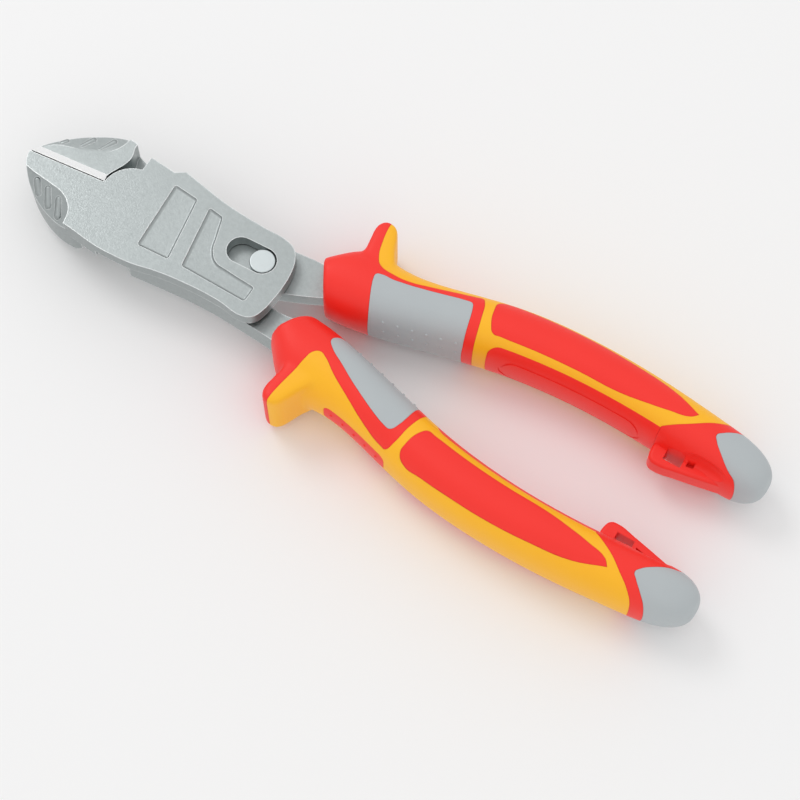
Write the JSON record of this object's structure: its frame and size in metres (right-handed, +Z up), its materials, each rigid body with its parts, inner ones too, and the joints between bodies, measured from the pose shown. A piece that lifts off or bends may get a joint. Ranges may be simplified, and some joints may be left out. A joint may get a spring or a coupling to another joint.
{
  "type": "diagonal cutting pliers",
  "caption": "Compound-joint diagonal cutting pliers: two jaws on a rivet, a slotted jaw plate swung by a drive lever, and two moulded guarded grips.",
  "frame": {"origin": "on the surface that the grips rest on, under the middle of the overall box", "axes": "+X from the jaws to the grip ends, +Y towards the drive lever's handle, +Z up, square to the flat of the head"},
  "size_m": [0.185, 0.053, 0.0185],
  "materials": {
    "forged_steel": "satin shot-blasted chrome-plated forged steel",
    "pin_steel": "ground steel pin",
    "yellow_core": "moulded thermoplastic core, fine matt",
    "red_shot": "moulded soft-touch elastomer over the core",
    "grey_shot": "moulded soft-touch elastomer, grey"
  },
  "bodies": {
    "jaw_lever_body": {"jaw_lever": "forged_steel", "main_pivot_rivet": "pin_steel", "fulcrum_pin": "pin_steel", "lower_core_sleeve": "yellow_core", "lower_front_collar": "red_shot", "lower_label_pad": "grey_shot", "lower_top_panel": "red_shot", "lower_under_panel": "red_shot", "lower_tail_shell": "red_shot", "lower_end_cap": "grey_shot", "lower_inner_panel": "red_shot", "lower_outer_strip": "red_shot"},
    "drive_lever_body": {"drive_lever": "forged_steel", "slot_pin": "pin_steel", "upper_core_sleeve": "yellow_core", "upper_front_collar": "red_shot", "upper_label_pad": "grey_shot", "upper_top_panel": "red_shot", "upper_under_panel": "red_shot", "upper_tail_shell": "red_shot", "upper_end_cap": "grey_shot", "upper_inner_panel": "red_shot", "upper_outer_strip": "red_shot"},
    "jaw_plate_body": {"jaw_plate": "forged_steel"}
  },
  "joints": [
    {"name": "handle_hinge", "type": "hinge", "parent": "jaw_lever_body", "child": "drive_lever_body", "pos_m": [-0.04783, -0.00259, 0.00925], "axis": [0, 0, 1], "range_deg": [0, 40]},
    {"name": "jaw_hinge", "type": "hinge", "parent": "jaw_lever_body", "child": "jaw_plate_body", "pos_m": [-0.0656, 0.0011, 0.00925], "axis": [0, 0, 1], "range_deg": [0, 20]}
  ],
  "couplings": [
    {"joint": "jaw_hinge", "follows": "handle_hinge", "ratio": 0.5}
  ]
}
